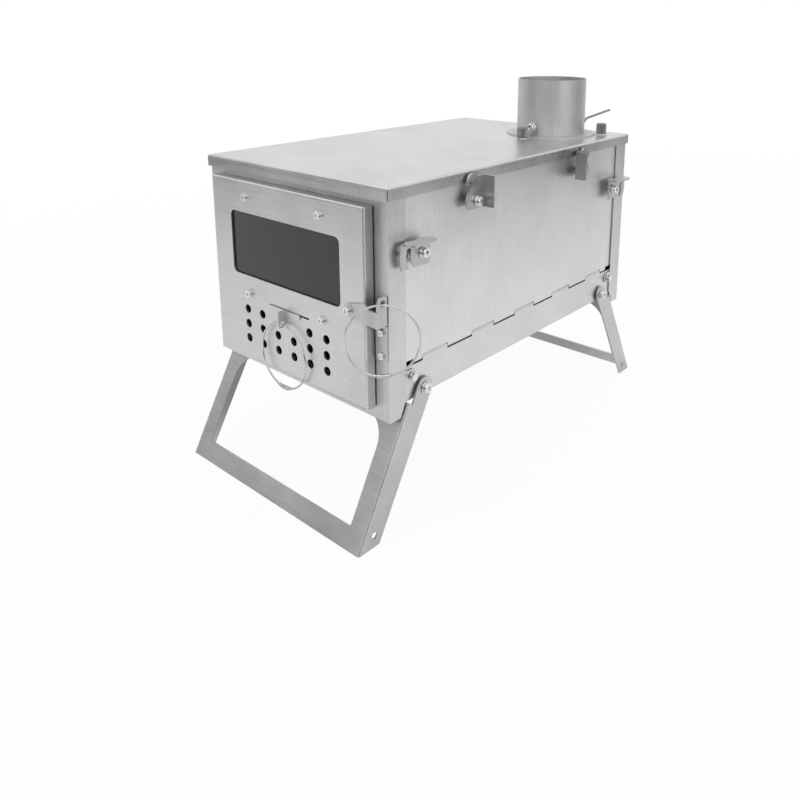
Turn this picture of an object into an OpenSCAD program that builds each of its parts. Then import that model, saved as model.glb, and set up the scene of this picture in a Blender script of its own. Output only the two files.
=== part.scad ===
// Folding wood stove for a tent, set up on its legs with the fire door shut.
// The origin is on the ground under the middle of the top plate.
// +Z is up and the fire door faces -Y.

/* [Top plate] */
// Width of the top plate, side to side
plate_w = 200; // [190:1:230]
// Depth of the top plate, front to back
plate_d = 331; // [325:1:380]
// Height of the cooking surface above the ground
stove_h = 252; // [250:1:275]
// Thickness of the top plate
plate_t = 1; // [0.8:0.1:1.2]
// Height of the lip that is folded down round the top plate
plate_lip = 9.2; // [8:0.1:12]

/* [Sheet metal] */
// Thickness of the frames, side panels and tray
sheet_t = 0.8; // [0.6:0.1:1]
// Thickness of the legs
leg_t = 1.2; // [1:0.1:1.5]
// Thickness of the latches and the door catch
latch_t = 1.2; // [1:0.1:1.4]
// Outer radius of the folds
fold_r = 1.8; // [1.5:0.1:2.2]

/* [Front and rear frames] */
// Height of the lower edge of both frames above the ground
skirt_z = 85.6; // [84:0.2:88]
// Distance from the side of the top plate in to the loading opening
opening_side = 26; // [22:1:35]
// Distance from the cooking surface down to the loading opening
opening_head = 24; // [20:1:36]
// Lower edge of the loading opening above the ground
opening_z = 106; // [105:0.5:110]
// Corner radius of the loading opening
opening_r = 6; // [3:0.5:12]
// Depth of the side flanges of the frames
frame_return = 17; // [15:0.5:17]

/* [Tray, side panels and their hinges] */
// Underside of the tray above the ground
tray_z = 95; // [94:0.1:95.5]
// Centre of the side hinges above the ground
hinge_z = 122.75; // [121:0.25:126]
// Length of one hinge knuckle of the tray
knuckle_len = 27.5; // [20:0.5:32]
// Radius of the hinge pins
hinge_pin_r = 1; // [0.8:0.1:1.1]

/* [Legs] */
// Distance of the leg pivots from the front and rear of the top plate
leg_pivot_end = 37.5; // [36:0.5:43]
// Height of the leg pivots above the ground
leg_pivot_z = 100.5; // [100:0.5:102]
// Lean of the legs from upright, in degrees
leg_lean = 28.5; // [20:0.5:32]
// Width of the uprights of each leg frame
leg_side_w = 15; // [12:1:30]
// Radius of the upper corners of that opening
leg_window_r = 22; // [10:1:30]
// Height of the crossbar that stands on the ground
leg_bar_h = 15.4; // [12:0.2:20]
// Radius of the leg pivot bolts
leg_bolt_r = 2.95; // [2.5:0.05:3.2]

/* [Door] */
// Distance from the side of the top plate in to the door
door_side = 14.25; // [13:0.25:17.5]
// Distance from the cooking surface down to the door
door_head = 13.6; // [12:0.2:16]
// Lower edge of the door above the ground
door_z = 94.2; // [92:0.2:94.4]
// Depth of the door, face to the edge of its flanges
door_depth = 8.5; // [8.5:0.1:9.5]
// Distance from the side of the door in to the window
window_side = 23.75; // [22:0.25:30]
// Distance from the upper edge of the door down to the window
window_head = 24.4; // [23:0.2:30]
// Lower edge of the window above the lower edge of the door
window_rise = 69.4; // [69:0.2:71]
// Thickness of the window glass
glass_t = 3; // [2.5:0.5:3]
// Distance from the side of the window in to its screws
screw_side = 19.8; // [17:0.2:22]

/* [Air control] */
// Diameter of the air holes
vent_d = 7; // [6:0.1:7.6]
// Distance between the columns of air holes, also twice the travel of the slide
vent_pitch_x = 18.4; // [17.6:0.1:19]
// Distance between the rows of air holes
vent_pitch_z = 12.1; // [11.5:0.1:12.6]
// Height of the lowest row of air holes above the lower edge of the door
vent_rise = 17.4; // [17:0.2:18.4]
// Diameter of the wire rings, to the middle of the wire
ring_d = 50.8; // [44:0.4:51]
// Radius of the ring wire
wire_r = 0.75; // [0.6:0.05:0.85]

/* [Flue] */
// Outer diameter of the flue collar
flue_d = 63.5; // [60:0.5:70]
// Height of the flue collar above the top plate
flue_h = 52; // [45:1:60]
// Distance of the flue from the right side of the top plate
flue_side = 58; // [54:1:64]
// Distance of the flue from the rear of the top plate
flue_back = 46; // [45.5:0.5:50]
// Height of the damper axle above the top plate
damper_rise = 8.5; // [8:0.5:12]
// Radius of the damper axle
axle_r = 1.25; // [1:0.05:1.5]

/* [Latches] */
// Distance of the side latch pivots from the front and rear of the top plate
side_latch_end = 31.5; // [31:0.5:35.5]
// Distance of the side latch pivots below the cooking surface
side_latch_drop = 48.5; // [46:0.5:57]
// Distance of the top latch pivots from the middle of the stove
top_latch_y = 74; // [66:0.5:80]
// Length of the part of the side latches past the pivot
side_latch_len = 22.5; // [21.5:0.5:24]
// How far the finger tabs of the latches stand out
tab_reach = 9.3; // [8:0.1:11]
// Radius of the latch pivot screws
pivot_r = 1.95; // [1.8:0.05:2.1]

/* [Hidden] */
$fn = 48;

// Clearances
over = 1;
running = 0.05;
slide_gap = 0.3;
seat_gap = 0.5;
edge_gap = 0.2;
panel_gap = 0.4;
tip_proud = 0.5;
socket_share = 0.8;

// Body
half_w = plate_w / 2;
half_d = plate_d / 2;
plate_under = stove_h - plate_t;
corner_gap = 0.6;
frame_x = half_w - plate_t - edge_gap;
frame_set = 1.3;
frame_y = half_d - plate_t - frame_set;
panel_x = frame_x - sheet_t - panel_gap;
panel_y = frame_y - sheet_t - seat_gap;
skirt_foot = 11;
skirt_slope = 13.4;
top_return = 10.4;
opening_w = plate_w - 2 * opening_side;
opening_h = stove_h - opening_head - opening_z;

// Side hinges
knuckle_r = hinge_pin_r + running + sheet_t;
knuckle_gap = 0.5;
hinge_x = panel_x - knuckle_r;
hinge_edge_gap = 0.4;
tray_lip = 9;

// Frame studs at the lower corners
stud_inset = 20.9;
frame_stud_y = panel_y - stud_inset;
frame_stud_z = 113.5;
stud_r = 1.6;
stud_head_r = 2.9;
stud_head_t = 1.6;
stud_slot = stud_r + slide_gap;
ear_r = 5;
pin_back = 2;
pin_proud = 1;
pin_end = frame_stud_y - pin_back;
end_knuckle_len = 9.75;
end_knuckle_y = pin_end - pin_proud - end_knuckle_len;
knuckle_pitch = (end_knuckle_y - knuckle_gap - knuckle_len / 2) / 2;
panel_knuckle_len = knuckle_pitch - knuckle_len - 2 * knuckle_gap;

// Legs
leg_pivot_y = half_d - leg_pivot_end;
leg_window_w = plate_w - 2 * leg_side_w;
leg_proud = 0.4;
leg_out_x = half_w + leg_proud;
leg_in_x = leg_out_x - leg_t;
leg_web_o = 12.6;
leg_front_o = 8;
leg_top_r = 7.7;
leg_foot_o = 4.6;
leg_web_top = 13.5;
leg_window_top = 28;
leg_window_foot_r = 2.5;
leg_reach = (leg_pivot_z + leg_web_o * sin(leg_lean)) / cos(leg_lean);
leg_extra = 12;
leg_hole_along = 106;
leg_hole_o = 3.2;
leg_hole_r = 2.5;
leg_fold_r = 2;
leg_neck_r = 1.9;
leg_head_r = 4;
leg_head_t = 2.5;
leg_nut_r = 3.9;
leg_nut_t = 2.8;

// Door
door_t = plate_t;
door_w = plate_w - 2 * door_side;
door_h = stove_h - door_head - door_z;
door_face_y = frame_y + sheet_t + door_depth;
door_back_y = frame_y + sheet_t;
door_inner_y = door_face_y - door_t;
window_z = door_z + window_rise;
window_w = door_w - 2 * window_side;
window_h = door_h - window_rise - window_head;
window_r_share = 1 / 11.2;
window_r = window_h * window_r_share;
window_mid = window_z + window_h / 2;
gasket_t = 0.6;
glass_lap = 6;
gasket_lap = 4.5;
window_frame_t = 0.8;
window_frame_lap = 9;
screw_above = 12.4;
screw_below = 14.2;
screw_x = window_w / 2 - screw_side;
screw_top_z = window_z + window_h + screw_above;
screw_low_z = window_z - screw_below;
screw_r = 1.5;
screw_head_r = 3.1;
screw_head_t = 2.3;
screw_nut_r = 3;
screw_nut_t = 1.8;
spacer_share = 0.86;
tab_r = 4.6;
glass_y = door_inner_y - gasket_t;
glass_back_y = glass_y - glass_t;
window_frame_y = glass_back_y - window_frame_t;

// Door hinge
door_knuckle_r = 2.5;
door_hinge_pin_r = 1.3;
door_hinge_x = door_w / 2 + door_knuckle_r;
door_hinge_y = frame_y + door_knuckle_r;
door_hinge_low = 8;
door_hinge_len = door_h - 2 * door_hinge_low;
door_knuckles = 5;
door_knuckle_gap = 0.5;
door_leaf_d = 3.2;
leaf_inset = 1;
frame_leaf_x = frame_x - leaf_inset;
door_knuckle_step = door_hinge_len / door_knuckles;
rivet_share = 0.4;
rivet_r = 1.2;
rivet_head_r = 2.2;
rivet_head_t = 0.7;

// Air slide
vent_z = door_z + vent_rise;
slide_t = 0.8;
slide_edge = 8;
slide_foot = 5.6;
slide_head = 5.4;
slide_x = 2.5 * vent_pitch_x + slide_edge;
slide_low = vent_z - slide_foot;
slide_top = vent_z + 2 * vent_pitch_z + slide_head;
slide_travel = vent_pitch_x / 2;
tongue_x = -17.4;
tongue_w = 35.4;
slit_rise = 34.7;
slit_z = vent_z + slit_rise;
slit_h = slide_t + 2 * slide_gap;
slit_end_gap = 0.6;
tongue_y = door_face_y + slide_gap;
tongue_drop = 3.4;
ear_x = 0.5;
ear_top_r = 3.4;
ear_drop = 9.5;
ring_r = ring_d / 2;
eye_r = 2.1;
eye_slack = 0.735;
ring_hang = eye_r - wire_r - eye_slack;
air_eye_out = 3.6;
air_ring_y = door_face_y + air_eye_out;
air_eye_z = slit_z - ear_drop;
air_ring_z = air_eye_z - ring_hang - ring_r;
barrel_r = 1.55;
barrel_angle = 30;
guide_w = 5;
guide_t = 0.8;
guide_lap = 2;
guide_end = 15.75;
guide_x = door_w / 2 - guide_end;

// Door latch and its ring
latch_pivot_inset = 14.85;
latch_pivot_rise = 70.5;
latch_low_rise = 63.8;
latch_step_rise = 79;
latch_neck_rise = 75.3;
latch_eye_rise = 80.3;
latch_edge_gap = 0.6;
latch_step_in = 12.2;
latch_neck_in = 8.2;
latch_eye_out = 4.8;
latch_pivot_x = door_w / 2 - latch_pivot_inset;
latch_pivot_z = door_z + latch_pivot_rise;
latch_end_r = 5;
latch_side_x = frame_x - latch_edge_gap;
latch_low_z = door_z + latch_low_rise;
latch_rise_x = latch_side_x - latch_step_in;
latch_rise_z = door_z + latch_step_rise;
latch_neck_x = latch_side_x - latch_neck_in;
latch_neck_z = door_z + latch_neck_rise;
latch_front_y = door_face_y + latch_t;
latch_back_y = frame_y + latch_edge_gap;
latch_eye_y = frame_y + latch_eye_out;
latch_eye_z = door_z + latch_eye_rise;
latch_eye_r = 2.4;
latch_eye_hang = 1.1;
latch_ear_r = 5;
door_ring_angle = 45;
door_ring_z = latch_eye_z - latch_eye_hang - ring_r;

// Door catch
catch_w = 10.7;
catch_low_rise = 37.4;
catch_top_rise = 72.8;
catch_gap = 0.8;
catch_ear_out = 6.6;
catch_screw_in = 5.5;
catch_screw_low_rise = 40.5;
catch_screw_high_rise = 57.4;
catch_head_share = 0.85;
catch_head_t_share = 0.7;
catch_x = latch_side_x - catch_w;
catch_low = door_z + catch_low_rise;
catch_shoulder = latch_low_z - catch_gap;
catch_top = door_z + catch_top_rise;
catch_in_x = latch_side_x - latch_t - latch_edge_gap;
catch_ear_y = frame_y + catch_ear_out;
catch_screw_x = catch_x + catch_screw_in;
catch_screw_low = door_z + catch_screw_low_rise;
catch_screw_high = door_z + catch_screw_high_rise;

// Flue and damper
flue_x = half_w - flue_side;
flue_y = half_d - flue_back;
flue_r = flue_d / 2;
flue_wall = 0.8;
flue_bore = flue_r - flue_wall;
collar_lap = 0.45;
flue_hole_r = flue_bore - collar_lap;
base_rim = 9.75;
base_r = flue_r + base_rim;
base_t = 1.2;
lug_r = 5.2;
lug_out = 6;
lug_at = base_r + lug_out;
nut_r = 4.6;
nut_h = 9.3;
nut_grooves = 24;
nut_groove_r = 0.35;
nut_bore_share = 0.85;
stud_share = 0.8;
flue_stud_r = 2;
flue_stud_head_r = 3.6;
flue_stud_head_t = 1.6;
damper_z = stove_h + damper_rise;
disc_gap = 0.75;
disc_r = flue_bore - disc_gap;
disc_t = 0.8;
disc_screw_y = 14;
disc_screw_r = 0.7;
disc_screw_head_r = 1.9;
disc_screw_head_t = 1.1;
end_head_r = 3.9;
end_head_t = 3.4;
end_washer_r = 4.7;
end_washer_t = 0.8;
handle_out = 6.3;
handle_y = flue_y + flue_r + handle_out;
bend_r = 2.4;
handle_run = 11;
handle_kink_angle = 68;
handle_step = 1.2;
handle_slope_angle = 22;
handle_len = 26;

// Latches on the sides
side_latch_y = half_d - side_latch_end;
side_latch_z = stove_h - side_latch_drop;
spacer_r = 3.1;
latch_stand = 4.6;
latch_x = panel_x + latch_stand;
latch_out = latch_x + latch_t;
latch_head_r = 3.6;
latch_head_t = 2.4;
latch_nut_r = 3.6;
latch_nut_t = 2.4;
side_slot_r = 14.2;
side_slot_play = 0.6;
side_slot_hw = stud_r + side_slot_play;
side_latch_up = 9.5;
side_latch_down = 9;
side_latch_in = 7.6;
side_tab_len = 27;
side_slot_angle = 166;
side_tab_r = 6;
top_latch_drop = 23.4;
top_latch_z = stove_h - top_latch_drop;
top_stud_in = 5.6;
top_stud_up = 14.6;
top_stud_off = [-top_stud_in, top_stud_up];
top_body_r = 12.6;
top_hook_r = 6.4;
top_slot_play = 0.5;
top_slot_hw = stud_r + top_slot_play;
top_latch_in = 8.4;
top_latch_down = 5.4;
top_latch_up = 18.4;
latch_stud_out = latch_out + slide_gap;

// Grate
grate_side_gap = 11.6;
grate_end_gap = 15.9;
grate_x = panel_x - grate_side_gap;
grate_y = panel_y - grate_end_gap;
grate_rise = 8;
grate_slot = 4;
grate_slot_len = 34;
grate_rows = 6;
grate_cols = 9;

// Both sides, both ends, and all four corners of the stove
module both_sides() {
    children();
    mirror([1, 0, 0]) children();
}

module both_ends() {
    children();
    mirror([0, 1, 0]) children();
}

module four_corners() {
    both_sides() both_ends() children();
}

// A plate cut to an outline of (y, z) points, from x0 outwards
module side_plate(x0, t) {
    translate([x0, 0, 0]) rotate([90, 0, 90]) linear_extrude(t) children();
}

// A plate cut to an outline of (x, z) points, its front at -y0
module front_plate(y0, t) {
    translate([0, t - y0, 0]) rotate([90, 0, 0]) linear_extrude(t) children();
}

// A round bar along X, from x0 to x1
module bar_x(x0, x1, y, z, r) {
    translate([x0, y, z]) rotate([0, 90, 0]) cylinder(h = x1 - x0, r = r);
}

// A round bar along Y, from y0 to y1
module bar_y(x, y0, y1, z, r) {
    translate([x, y0, z]) rotate([-90, 0, 0]) cylinder(h = y1 - y0, r = r);
}

// A rectangle with round corners about the origin
module round_rect(w, h, r) {
    square([w - 2 * r, h], center = true);
    square([w, h - 2 * r], center = true);
    for (sx = [-1, 1], sy = [-1, 1])
        translate([sx * (w / 2 - r), sy * (h / 2 - r)]) circle(r);
}

// A bar's outline with round upper corners, hanging down from zero
module soft_outline(w, depth, r) {
    translate([-w / 2, -depth]) square([w, depth - r]);
    translate([-w / 2 + r, -depth]) square([w - 2 * r, depth]);
    for (s = [-1, 1]) translate([s * (w / 2 - r), -r]) circle(r);
}

// A block with a round upper rim, hanging down from z = 0
module soft_block(w, l, depth, r) {
    intersection() {
        translate([0, l / 2, 0]) rotate([90, 0, 0]) linear_extrude(l) soft_outline(w, depth, r);
        translate([-w / 2, 0, 0]) rotate([90, 0, 90]) linear_extrude(w) soft_outline(l, depth, r);
    }
}

// A folded pan: a sheet with its four edges folded down from z = 0
module folded_pan(w, l, depth, r, t) {
    difference() {
        soft_block(w, l, depth, r);
        translate([0, 0, -t]) soft_block(w - 2 * t, l - 2 * t, depth, r - t);
    }
}

// A hexagon socket in the end of a screw head that faces -Y
module socket_y(x, y, z, r, depth) {
    translate([x, y - over, z]) rotate([-90, 0, 0]) cylinder(h = depth + over, r = r, $fn = 6);
}

// A round screw with a socket head, its head's seat at x and its head outwards
module screw_x(x_tip, x_seat, y, z, r, head_r, head_t) {
    difference() {
        union() {
            bar_x(x_tip, x_seat + head_t, y, z, r);
            bar_x(x_seat, x_seat + head_t, y, z, head_r);
        }
        translate([x_seat + head_t / 3, y, z]) rotate([0, 90, 0]) cylinder(h = head_t, r = r * socket_share, $fn = 6);
    }
}

// The same screw through the front, its head's seat at -y_seat
module screw_y(x, z, y_seat, y_tip, r, head_r, head_t) {
    difference() {
        union() {
            bar_y(x, -y_seat - head_t, -y_tip, z, r);
            bar_y(x, -y_seat - head_t, -y_seat, z, head_r);
        }
        socket_y(x, -y_seat - head_t, z, r * socket_share, head_t * 2 / 3);
    }
}

// A hexagon nut on a bar along X
module nut_x(x0, t, y, z, r, bore) {
    translate([x0, y, z]) rotate([0, 90, 0]) difference() {
        cylinder(h = t, r = r, $fn = 6);
        translate([0, 0, -over]) cylinder(h = t + 2 * over, r = bore);
    }
}

// Top plate

module top_plate() {
    color("gainsboro") difference() {
        translate([0, 0, stove_h]) folded_pan(plate_w, plate_d, plate_lip, fold_r, plate_t);
        four_corners() translate([half_w - fold_r, -half_d + plate_t, stove_h - plate_lip - over])
            cube([fold_r + over, corner_gap, plate_lip - plate_t + over]);
        translate([flue_x, flue_y, plate_under - over]) cylinder(h = plate_t + 2 * over, r = flue_hole_r);
        flue_bolts() translate([0, 0, plate_under - over])
            cylinder(h = plate_t + 2 * over, r = flue_stud_r + running);
        four_corners() bar_x(half_w - plate_t - over, half_w + over, top_stud_y(), top_stud_z(),
            stud_r + running);
    }
}

function top_stud_y() = -top_latch_y + top_stud_off[0];
function top_stud_z() = top_latch_z + top_stud_off[1];

// Front frame and rear panel

module frame_flange() {
    side_plate(frame_x - sheet_t, sheet_t) difference() {
        union() {
            polygon([[-frame_y, skirt_z], [-frame_y + skirt_foot, skirt_z],
                [-frame_y + frame_return, skirt_z + skirt_slope],
                [-frame_y + frame_return, plate_under], [-frame_y, plate_under]]);
            translate([-frame_y, frame_stud_z - ear_r]) square([frame_y - frame_stud_y, 2 * ear_r]);
            translate([-frame_stud_y, frame_stud_z]) circle(ear_r);
        }
        translate([-frame_stud_y, frame_stud_z]) circle(stud_slot);
        translate([-frame_stud_y - stud_slot, frame_stud_z - ear_r - over])
            square([2 * stud_slot, ear_r + over]);
        translate([-side_latch_y - side_slot_r, side_latch_z]) circle(stud_r + running);
    }
}

module frame_shell() {
    front_plate(frame_y, sheet_t) translate([-frame_x, skirt_z])
        square([2 * frame_x, plate_under - skirt_z]);
    both_sides() frame_flange();
    translate([-frame_x, -frame_y, plate_under - sheet_t]) cube([2 * frame_x, top_return, sheet_t]);
}

module front_frame() {
    color("silver") difference() {
        frame_shell();
        translate([0, -frame_y + over + sheet_t, opening_z + opening_h / 2]) rotate([90, 0, 0])
            linear_extrude(sheet_t + 2 * over) round_rect(opening_w, opening_h, opening_r);
        for (z = [catch_screw_low, catch_screw_high])
            bar_y(catch_screw_x, -frame_y - over, -frame_y + sheet_t + over, z, screw_r + running);
        for (z = rivet_heights())
            bar_y(-rivet_x(), -frame_y - over, -frame_y + sheet_t + over, z, rivet_r + running);
    }
}

module rear_panel() {
    color("silver") mirror([0, 1, 0]) frame_shell();
}

// Tray, side panels and their hinges

module tray_knuckle_places() {
    for (i = [-2 : 2]) translate([0, i * knuckle_pitch, 0]) children();
}

module panel_knuckle_places() {
    for (i = [-1.5 : 1 : 1.5]) translate([0, i * knuckle_pitch, 0]) children();
}

// A curled knuckle and the sheet that runs into it, up or down
module knuckle(len, up) {
    bar_y(hinge_x, -len / 2, len / 2, hinge_z, knuckle_r);
    translate([panel_x - sheet_t, -len / 2, hinge_z - (up ? 0 : 2 * knuckle_r)])
        cube([sheet_t, len, 2 * knuckle_r]);
}

module pin_bore() {
    bar_y(hinge_x, -half_d, half_d, hinge_z, hinge_pin_r + running);
}

module tray_half() {
    difference() {
        union() {
            translate([0, -panel_y, tray_z]) cube([panel_x, 2 * panel_y, sheet_t]);
            translate([panel_x - sheet_t, -panel_y, tray_z])
                cube([sheet_t, 2 * panel_y, hinge_z - knuckle_r - hinge_edge_gap - tray_z]);
            both_ends() translate([0, -panel_y, tray_z]) cube([panel_x, sheet_t, tray_lip]);
            tray_knuckle_places() knuckle(knuckle_len, false);
        }
        pin_bore();
        both_ends() bar_x(panel_x - sheet_t - over, panel_x + over, -leg_pivot_y, leg_pivot_z,
            leg_neck_r + running);
        both_ends() bar_x(panel_x - sheet_t - over, panel_x + over, -frame_stud_y, frame_stud_z,
            stud_r + running);
    }
}

module tray() {
    color("darkgray") both_sides() tray_half();
}

module side_panel() {
    difference() {
        union() {
            translate([panel_x - sheet_t, -panel_y, hinge_z + knuckle_r + hinge_edge_gap])
                cube([sheet_t, 2 * panel_y, plate_under - seat_gap - hinge_z - knuckle_r - hinge_edge_gap]);
            panel_knuckle_places() knuckle(panel_knuckle_len, true);
            both_ends() translate([0, -end_knuckle_y - end_knuckle_len / 2, 0])
                knuckle(end_knuckle_len, true);
        }
        pin_bore();
        both_ends() latch_pivots() bar_x(panel_x - sheet_t - over, panel_x + over, 0, 0, pivot_r + running);
    }
}

module side_panel_right() {
    color("silver") side_panel();
}

module side_panel_left() {
    color("silver") mirror([1, 0, 0]) side_panel();
}

module hinge_pin_right() {
    color("gray") bar_y(hinge_x, -pin_end, pin_end, hinge_z, hinge_pin_r);
}

module hinge_pin_left() {
    color("gray") mirror([1, 0, 0]) bar_y(hinge_x, -pin_end, pin_end, hinge_z, hinge_pin_r);
}

module grate_hole() {
    run = grate_slot_len - grate_slot;
    square([grate_slot, run], center = true);
    for (s = [-1, 1]) translate([0, s * run / 2]) circle(grate_slot / 2, $fn = 16);
}

module fire_grate() {
    step_x = 2 * grate_x / grate_cols;
    step_y = 2 * grate_y / grate_rows;
    color("dimgray") {
        translate([0, 0, tray_z + sheet_t + grate_rise]) linear_extrude(sheet_t) difference() {
            square([2 * grate_x, 2 * grate_y], center = true);
            for (i = [1 : grate_cols], j = [1 : grate_rows])
                translate([-grate_x + (i - 0.5) * step_x, -grate_y + (j - 0.5) * step_y]) grate_hole();
        }
        both_sides() translate([grate_x - sheet_t, -grate_y, tray_z + sheet_t])
            cube([sheet_t, 2 * grate_y, grate_rise]);
    }
}

module frame_studs() {
    color("dimgray") four_corners() {
        bar_x(panel_x - sheet_t, frame_x + seat_gap + stud_head_t, -frame_stud_y, frame_stud_z, stud_r);
        bar_x(frame_x + seat_gap, frame_x + seat_gap + stud_head_t + stud_head_t, -frame_stud_y,
            frame_stud_z, stud_head_r);
    }
}

// Legs, in their own frame: the pivot is at the origin, the leg hangs along -Z
// and its crossbars face -Y

module leg_profile() {
    circle(leg_top_r);
    polygon([[-leg_front_o, 0], [-leg_front_o, -leg_web_top], [-leg_web_o, -leg_web_top],
        [-leg_web_o, -leg_reach - leg_extra], [leg_foot_o, -leg_reach - leg_extra],
        [leg_top_r, 0]]);
}

module leg_channel() {
    depth = 2 * leg_web_o + leg_top_r;
    translate([0, 0, -leg_reach - leg_extra]) linear_extrude(leg_reach + leg_extra + leg_top_r) difference() {
        translate([0, -leg_web_o + depth / 2]) round_rect(2 * leg_out_x, depth, leg_fold_r);
        translate([0, -leg_web_o + leg_t + depth / 2])
            round_rect(2 * leg_in_x, depth, leg_fold_r - leg_t);
    }
}

module leg_window() {
    low = leg_reach - leg_bar_h;
    r = leg_window_r;
    f = leg_window_foot_r;
    translate([0, -leg_web_o - over, 0]) rotate([-90, 0, 0]) linear_extrude(leg_t + 2 * over) {
        translate([-leg_window_w / 2 + r, leg_window_top]) square([leg_window_w - 2 * r, r + over]);
        translate([-leg_window_w / 2, leg_window_top + r])
            square([leg_window_w, low - f - leg_window_top - r]);
        translate([-leg_window_w / 2 + f, low - f - over]) square([leg_window_w - 2 * f, f + over]);
        for (s = [-1, 1]) {
            translate([s * (leg_window_w / 2 - r), leg_window_top + r]) circle(r);
            translate([s * (leg_window_w / 2 - f), low - f]) circle(f);
        }
    }
}

module leg() {
    difference() {
        translate([0, -leg_pivot_y, leg_pivot_z]) rotate([-leg_lean, 0, 0]) difference() {
            intersection() {
                leg_channel();
                side_plate(-leg_out_x - over, 2 * (leg_out_x + over)) leg_profile();
            }
            leg_window();
            bar_x(-leg_out_x - over, leg_out_x + over, 0, 0, leg_bolt_r + running);
            bar_x(-leg_out_x - over, leg_out_x + over, -leg_hole_o, -leg_hole_along, leg_hole_r);
        }
        translate([-plate_w, -plate_d, -stove_h]) cube([2 * plate_w, 2 * plate_d, stove_h]);
    }
}

module leg_front() {
    color("lightgray") leg();
}

module leg_rear() {
    color("lightgray") mirror([0, 1, 0]) leg();
}

module leg_bolts() {
    color("gainsboro") four_corners() difference() {
        union() {
            bar_x(panel_x - sheet_t - leg_nut_t - tip_proud, leg_out_x + slide_gap, -leg_pivot_y,
                leg_pivot_z, leg_neck_r);
            bar_x(leg_in_x - slide_gap, leg_out_x + slide_gap + leg_head_t, -leg_pivot_y, leg_pivot_z,
                leg_bolt_r);
            bar_x(leg_out_x + slide_gap, leg_out_x + slide_gap + leg_head_t, -leg_pivot_y, leg_pivot_z,
                leg_head_r);
        }
        translate([leg_out_x + slide_gap + leg_head_t / 3, -leg_pivot_y, leg_pivot_z])
            rotate([0, 90, 0]) cylinder(h = leg_head_t, r = leg_neck_r, $fn = 6);
    }
}

module leg_washers() {
    color("gray") four_corners() difference() {
        bar_x(panel_x, leg_in_x - slide_gap, -leg_pivot_y, leg_pivot_z, leg_head_r);
        bar_x(panel_x - over, leg_in_x + over, -leg_pivot_y, leg_pivot_z, leg_neck_r + running);
    }
}

module leg_nuts() {
    color("gray") four_corners()
        nut_x(panel_x - sheet_t - leg_nut_t, leg_nut_t, -leg_pivot_y, leg_pivot_z, leg_nut_r,
            leg_neck_r + running);
}

// Door

module vent_holes(t, y0) {
    for (i = [-2.5 : 1 : 2.5], j = [0 : 2])
        if (j < 2 || abs(i) > 1)
            bar_y(i * vent_pitch_x, -y0, -y0 + t, vent_z + j * vent_pitch_z, vent_d / 2);
}

module window_screw_places() {
    for (sx = [-1, 1], z = [screw_low_z, screw_top_z]) translate([sx * screw_x, 0, z]) children();
}

module door_pan() {
    color("gainsboro") difference() {
        translate([0, -door_face_y, door_z + door_h / 2]) rotate([90, 0, 0])
            folded_pan(door_w, door_h, door_depth, fold_r, door_t);
        translate([0, -door_face_y - over + door_t + 2 * over, window_mid]) rotate([90, 0, 0])
            linear_extrude(door_t + 2 * over) round_rect(window_w, window_h, window_r);
        vent_holes(door_t + 2 * over, door_face_y + over);
        translate([tongue_x - slit_end_gap, -door_face_y - over, slit_z - slit_h / 2])
            cube([tongue_w + slide_travel + 2 * slit_end_gap, door_t + 2 * over, slit_h]);
        window_screw_places() bar_y(0, -door_face_y - over, -door_inner_y + over, 0, screw_r + running);
        bar_y(latch_pivot_x, -door_face_y - over, -door_inner_y + over, latch_pivot_z, screw_r + running);
        for (z = rivet_heights())
            bar_x(-door_w / 2 - over, -door_w / 2 + door_t + over, -door_back_y - door_leaf_d / 2, z,
                rivet_r + running);
    }
}

// Door hinge, curled from two strips on one long pin

function rivet_x() = (frame_leaf_x + door_hinge_x) / 2;
function rivet_heights() = [for (s = [-1, 0, 1]) door_z + door_h / 2 + s * door_hinge_len * rivet_share];

module hinge_knuckles(first) {
    for (i = [first : 2 : door_knuckles - 1])
        translate([-door_hinge_x, -door_hinge_y, door_z + door_hinge_low + i * door_knuckle_step])
            cylinder(h = door_knuckle_step - door_knuckle_gap, r = door_knuckle_r);
}

module hinge_clearance(first) {
    for (i = [first : 2 : door_knuckles - 1])
        translate([-door_hinge_x, -door_hinge_y,
            door_z + door_hinge_low + i * door_knuckle_step - door_knuckle_gap])
            cylinder(h = door_knuckle_step + door_knuckle_gap, r = door_knuckle_r + door_knuckle_gap);
}

module door_hinge_bore() {
    translate([-door_hinge_x, -door_hinge_y, door_z]) cylinder(h = door_h, r = door_hinge_pin_r + running);
}

module door_hinge_leaf() {
    low = door_z + door_hinge_low;
    color("darkgray") difference() {
        union() {
            hinge_knuckles(0);
            difference() {
                translate([-door_hinge_x + door_knuckle_r - sheet_t, -door_face_y + fold_r, low])
                    cube([sheet_t, door_face_y - fold_r - door_hinge_y, door_hinge_len - door_knuckle_gap]);
                hinge_clearance(1);
            }
        }
        door_hinge_bore();
        for (z = rivet_heights())
            bar_x(-door_w / 2 - sheet_t - over, -door_w / 2 + over, -door_back_y - door_leaf_d / 2, z,
                rivet_r + running);
    }
}

module frame_hinge_leaf() {
    low = door_z + door_hinge_low;
    color("darkgray") difference() {
        union() {
            hinge_knuckles(1);
            difference() {
                translate([-frame_leaf_x, -frame_y - sheet_t, low])
                    cube([frame_leaf_x - door_hinge_x, sheet_t, door_hinge_len - door_knuckle_gap]);
                hinge_clearance(0);
            }
        }
        door_hinge_bore();
        for (z = rivet_heights())
            bar_y(-rivet_x(), -frame_y - sheet_t - over, -frame_y + over, z, rivet_r + running);
    }
}

module door_hinge_pin() {
    color("dimgray") translate([-door_hinge_x, -door_hinge_y, door_z + door_hinge_low - over])
        cylinder(h = door_hinge_len + 2 * over, r = door_hinge_pin_r);
}

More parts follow.
